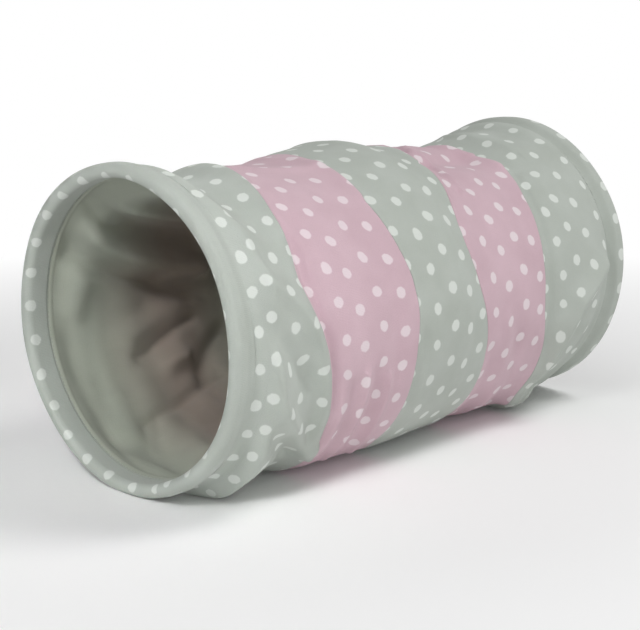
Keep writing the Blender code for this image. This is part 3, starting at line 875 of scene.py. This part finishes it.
def casing_outline(fall, fall_from):
    """The strip from its inner edge, round the mouth, to its outer edge, as depths and radii."""
    edge = CASING_WIDTH + SEAM_GAP / 2 - HALF_SLIT
    inner_depths = [*(edge - EDGE_STEPS), *np.linspace(INNER_ROWS_FROM, NOSE + PAST_NOSE, 8)]
    inner = [(depth, RING_RADIUS - 2 * NOSE) for depth in inner_depths]
    nose = []
    for turn in np.radians(np.linspace(0, 180, 19)):
        nose.append((NOSE - NOSE * math.sin(turn), RING_RADIUS - NOSE - NOSE * math.cos(turn)))
    outer = []
    outer_depths = [*np.linspace(NOSE + PAST_NOSE, OUTER_ROWS_TO, 10), *(edge - EDGE_STEPS[::-1])]
    for depth in outer_depths:
        outer.append((depth, RING_RADIUS - fall * ramp((depth - fall_from) / (edge - fall_from))))
    return np.array(inner + nose + outer)


casing_angles = np.linspace(CASING_JOIN - JOIN_SLIT, CASING_JOIN - 360 + JOIN_SLIT, 330)
groove = CASING_WIDTH + SEAM_GAP / 2
for end, pitch_scale, fall, fall_from in CASINGS:
    outline = casing_outline(fall, fall_from)
    run = np.gradient(outline, axis=0)
    run /= np.linalg.norm(run, axis=1)[:, None]
    inwards = np.stack([run[:, 1], -run[:, 0]], axis=1)
    lengths = np.cumsum(np.linalg.norm(np.diff(outline, axis=0, prepend=outline[:1]), axis=1))[:, None]
    angle = np.broadcast_to(casing_angles, (len(outline), casing_angles.size))
    arc = np.radians(angle) * RING_RADIUS
    off = np.minimum(lengths, lengths[-1] - lengths)
    off_join = np.minimum(casing_angles[0] - angle, angle - casing_angles[-1]) * MM_PER_DEGREE / 1000
    # The near casing's outer edge is pressed flat, so only its inner edge turns in.
    rolled = off if end == "rear" else lengths
    dip = np.maximum(turned_in(rolled), turned_in(off_join)) + dip_at(lengths, *INNER_EDGE_DIP)
    pucker = np.sin(arc / PUCKER_ARC + 2.0 * np.sin(arc / DENSER_ARC))
    dip = dip + pucker * dip_at(off, PUCKER, PUCKER_REACH)
    dip = dip + SWAY * np.sin(arc / SWAY_ARC + lengths / SWAY_WIDTH)
    depth = outline[:, :1] + inwards[:, :1] * dip
    radius = outline[:, 1:] + inwards[:, 1:] * dip
    place = depth if end == "front" else LENGTH - depth
    if end == "rear":
        place, radius, lengths = place[::-1], radius[::-1], lengths[::-1]
    a = np.radians(angle)
    z = kept_above(-AXIS_HEIGHT, radius * np.cos(a), CASING_BEND)
    points = np.stack([place - LENGTH / 2, -radius * np.sin(a), z + AXIS_HEIGHT], axis=-1)
    ahead = np.radians(CASING_JOIN - angle)
    around = ahead * (RING_RADIUS - NOSE) * pitch_scale - ROW_START
    row_place = np.interp(casing_angles, *zip(*DOT_ROW)) / 1000 if end == "front" else REAR_DOT_ROW
    # One row only: past half a step from it, the print's place stands still between two rows.
    along = np.clip(lengths - row_place, -DOT_COLUMN / 2, DOT_COLUMN / 2) + np.zeros_like(arc)
    casing = cloth_piece(end + "_casing_cloth", points, np.stack([around, along], axis=-1), KNIT)
    casing.data.materials.append(sage_knit)
    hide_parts(end + "_casing")
    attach(casing, end + "_end")

    s = np.full(round_points, groove if end == "front" else LENGTH - groove)
    to_lining = np.full(round_points, RING_RADIUS - 2 * NOSE + LINING / 2)
    for name, depth, radius in (
        (end + "_casing_to_band", CASING_THREAD_DEPTH, tube_radius(s, thread_angles)),
        (end + "_casing_to_lining", 0.0, to_lining),
    ):
        sewn_line(name, s, thread_angles, depth, radius, end + "_end")
    sunk = outline + inwards * CASING_THREAD_DEPTH
    s = sunk[:, 0] if end == "front" else LENGTH - sunk[:, 0]
    angle = np.full(len(outline), CASING_JOIN)
    radius = np.minimum(sunk[:, 1], AXIS_HEIGHT - THREAD_OFF_FLOOR)
    sewn_line(end + "_casing_join", s, angle, 0.0, radius, end + "_end")

# THE SPRING
# One length of drawn spring-steel wire, 2.5 mm thick: a closed turn in each casing and three open turns
# between, each end turn held by a crimped steel sleeve. It is hidden, and shows as ridges in the cloth.
WIRE = 0.0025
TURN_SIDES = 36
OPEN_TURNS = 3
# Where it starts, in degrees from the top; where its end turns lie; and how far it steps aside as it leaves
# an end turn, to pass beside it.
LEAVES_AT = 155.0
END_TURN = 0.0064
WIRE_STEP = 0.0028
COIL_START = END_TURN + WIRE_STEP
# How deep its middle lies under the bands' outer face, and how far it stays clear of the lining.
WIRE_DEPTH = 0.00335
CLEAR_OF_LINING = 0.0002


def spring_place():
    """The wire's run, as places behind the near mouth and degrees from the top, ten degrees apart."""
    path = []
    for i in range(TURN_SIDES + 1):
        aside = float(ramp((i - (TURN_SIDES - 3)) / 3))
        path.append((END_TURN + WIRE_STEP * aside, LEAVES_AT + 10 * i))
    steps = OPEN_TURNS * TURN_SIDES
    for i in range(steps + 1):
        path.append((COIL_START + (LENGTH - 2 * COIL_START) * i / steps, LEAVES_AT + 360 + 10 * (i + 1)))
    last = LEAVES_AT + 360 + 10 * (steps + 1)
    for i in range(1, TURN_SIDES + 2):
        aside = float(ramp((i - 1) / 3))
        path.append((LENGTH - COIL_START + WIRE_STEP * aside, last + 10 * i))
    return np.array(path)


coarse = spring_place()
# Three points to each of its steps.
fine = np.linspace(0, len(coarse) - 1, 3 * (len(coarse) - 1) + 1)
s = np.interp(fine, np.arange(len(coarse)), coarse[:, 0])
angle = np.interp(fine, np.arange(len(coarse)), coarse[:, 1])
edge = np.minimum(s, LENGTH - s)
under = ramp((edge - COIL_START) / (CASING_WIDTH - COIL_START))[:, None]
a = np.radians(angle)
ring = RING_RADIUS - NOSE
in_casing = np.stack([s - LENGTH / 2, -ring * np.sin(a), ring * np.cos(a) + AXIS_HEIGHT], axis=-1)
wrapped = (angle - BAND_JOIN) % 360 + BAND_JOIN - 360
# The steel keeps within its end turns' size where the cloth stands off it, and never inside the lining.
lining_radius, lining_depth = lining_face(s, wrapped)
outside_lining = lining_radius - lining_depth + CLEAR_OF_LINING + WIRE / 2
held_in = np.minimum(tube_radius(s, wrapped, False), ring + WIRE_DEPTH)
held_in = np.maximum(held_in, outside_lining + WIRE_DEPTH)
under_cloth = on_tube(s, wrapped, WIRE_DEPTH, held_in)
spring = round_strand("spring_wire", in_casing * (1 - under) + under_cloth * under, WIRE, False, 8)


def drawn_steel(name):
    """Drawn spring steel: bright grey, with fine marks of the die that soften its shine."""
    material, tree, shader = new_material(name)
    place = add(tree, "ShaderNodeTexCoord").outputs["Object"]
    # Die marks of 0.05 mm, drawn at 0.4 mm so that they show: 2500 to the metre.
    marks = add(
        tree, "ShaderNodeTexNoise", {"Scale": 2500.0, "Detail": 2.0}, {"Vector": place}
    ).outputs["Fac"]
    rough = add(tree, "ShaderNodeMapRange", {1: 0.3, 2: 0.7, 3: 0.28, 4: 0.42}, {0: marks})
    bump = add(tree, "ShaderNodeBump", {"Strength": 0.15, "Distance": 0.0001}, {"Height": marks})
    tree.links.new(rough.outputs[0], shader.inputs["Roughness"])
    tree.links.new(bump.outputs[0], shader.inputs["Normal"])
    shader.inputs["Base Color"].default_value = linear("#B5B6B8")
    shader.inputs["Metallic"].default_value = 1.0
    return material


spring_steel = drawn_steel("drawn_spring_steel")
spring.data.materials.append(spring_steel)
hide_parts("coil_wire")
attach(spring, "front_end")
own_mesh(spring)
for node in ("front_wire_sleeve", "rear_wire_sleeve"):
    for material_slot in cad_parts[node].material_slots:
        material_slot.material = spring_steel

# THE LIGHT AND THE FLOOR
# A matt white floor under a white sky, and four square softboxes. Away from the tunnel the floor fades into
# plain white where the camera sees it, because the photograph's ground is plain white.
HALF_FLOOR = 6.0
FADE_FROM, FADE_TO = 0.3, 0.9
SKY_STRENGTH = 0.38

floor_mesh = bpy.data.meshes.new("floor")
bm = bmesh.new()
bmesh.ops.create_grid(bm, x_segments=1, y_segments=1, size=HALF_FLOOR)
bm.to_mesh(floor_mesh)
bm.free()
floor = bpy.data.objects.new("floor", floor_mesh)
bpy.context.collection.objects.link(floor)
floor_paint, tree, shader = new_material("matt_white_floor")
shader.inputs["Base Color"].default_value = linear("#FAFAFA")
shader.inputs["Roughness"].default_value = 1.0
place = add(tree, "ShaderNodeTexCoord").outputs["Object"]
reach = add(tree, "ShaderNodeVectorMath", {"operation": "LENGTH"}, {0: place}).outputs["Value"]
fade = {1: FADE_FROM, 2: FADE_TO, 3: 0.0, 4: 1.0}
far = add(tree, "ShaderNodeMapRange", fade, {0: reach}).outputs[0]
eye = add(tree, "ShaderNodeLightPath").outputs["Is Camera Ray"]
white = add(tree, "ShaderNodeMath", {"operation": "MULTIPLY"}, {0: far, 1: eye}).outputs[0]
glow = add(tree, "ShaderNodeEmission", {"Color": (1, 1, 1, 1), "Strength": 1.0}).outputs[0]
blend = add(tree, "ShaderNodeMixShader", links={0: white, 1: shader.outputs[0], 2: glow})
tree.links.new(blend.outputs[0], tree.nodes["Material Output"].inputs["Surface"])
floor.data.materials.append(floor_paint)

# The sky lights softly, and is plain white where the camera or a shine looks at it.
world = bpy.data.worlds.new("studio")
bpy.context.scene.world = world
world.use_nodes = True
tree = world.node_tree
sky = tree.nodes["Background"]
sky.inputs["Color"].default_value = (1, 1, 1, 1)
sky.inputs["Strength"].default_value = SKY_STRENGTH
path = add(tree, "ShaderNodeLightPath")
seen = add(
    tree,
    "ShaderNodeMath",
    {"operation": "MAXIMUM"},
    {0: path.outputs["Is Camera Ray"], 1: path.outputs["Is Glossy Ray"]},
).outputs[0]
plain = add(tree, "ShaderNodeBackground", {"Color": (1, 1, 1, 1), "Strength": 1.0}).outputs[0]
both = add(tree, "ShaderNodeMixShader", links={0: seen, 1: sky.outputs[0], 2: plain})
tree.links.new(both.outputs[0], tree.nodes["World Output"].inputs["Surface"])

# Each softbox: its name, its place and what it faces, its side in metres, its power in watts, and how wide
# it spreads in degrees. A grid on the mouth's own one keeps its light out of the rest.
SOFTBOXES = [
    ("key_softbox", (0.6, -0.7, 1.4), (0, 0, 0.1), 0.5, 10.3, 180.0),
    ("front_softbox", (-1.5, -0.45, 1.0), (0, 0, 0.1), 0.35, 5.4, 180.0),
    ("mouth_softbox", (-1.15, -0.55, 1.05), (-0.22, 0.03, 0.07), 0.22, 0.135, 20.0),
    ("low_softbox", (-0.5, -1.25, 0.06), (-0.05, 0, 0.04), 0.6, 4.6, 180.0),
]
for name, place, aim, side, power, spread in SOFTBOXES:
    light = bpy.data.lights.new(name, "AREA")
    light.shape = "SQUARE"
    light.size = side
    light.energy = power
    light.spread = math.radians(spread)
    lamp = bpy.data.objects.new(name, light)
    bpy.context.collection.objects.link(lamp)
    lamp.location = place
    lamp.rotation_euler = (Vector(aim) - Vector(place)).to_track_quat("-Z", "Y").to_euler()

# The camera, fitted to the tunnel's outline in the photograph.
lens = bpy.data.cameras.new("camera")
lens.lens = 90.91
lens.sensor_width = 36
lens.clip_start = 0.01
camera = bpy.data.objects.new("camera", lens)
bpy.context.collection.objects.link(camera)
camera.location = (-0.9660, -0.9046, 0.3968)
camera.rotation_euler = Vector((0.7035, 0.6761, -0.2189)).to_track_quat("-Z", "Y").to_euler()
bpy.context.scene.camera = camera
bpy.context.scene.view_settings.view_transform = "Standard"
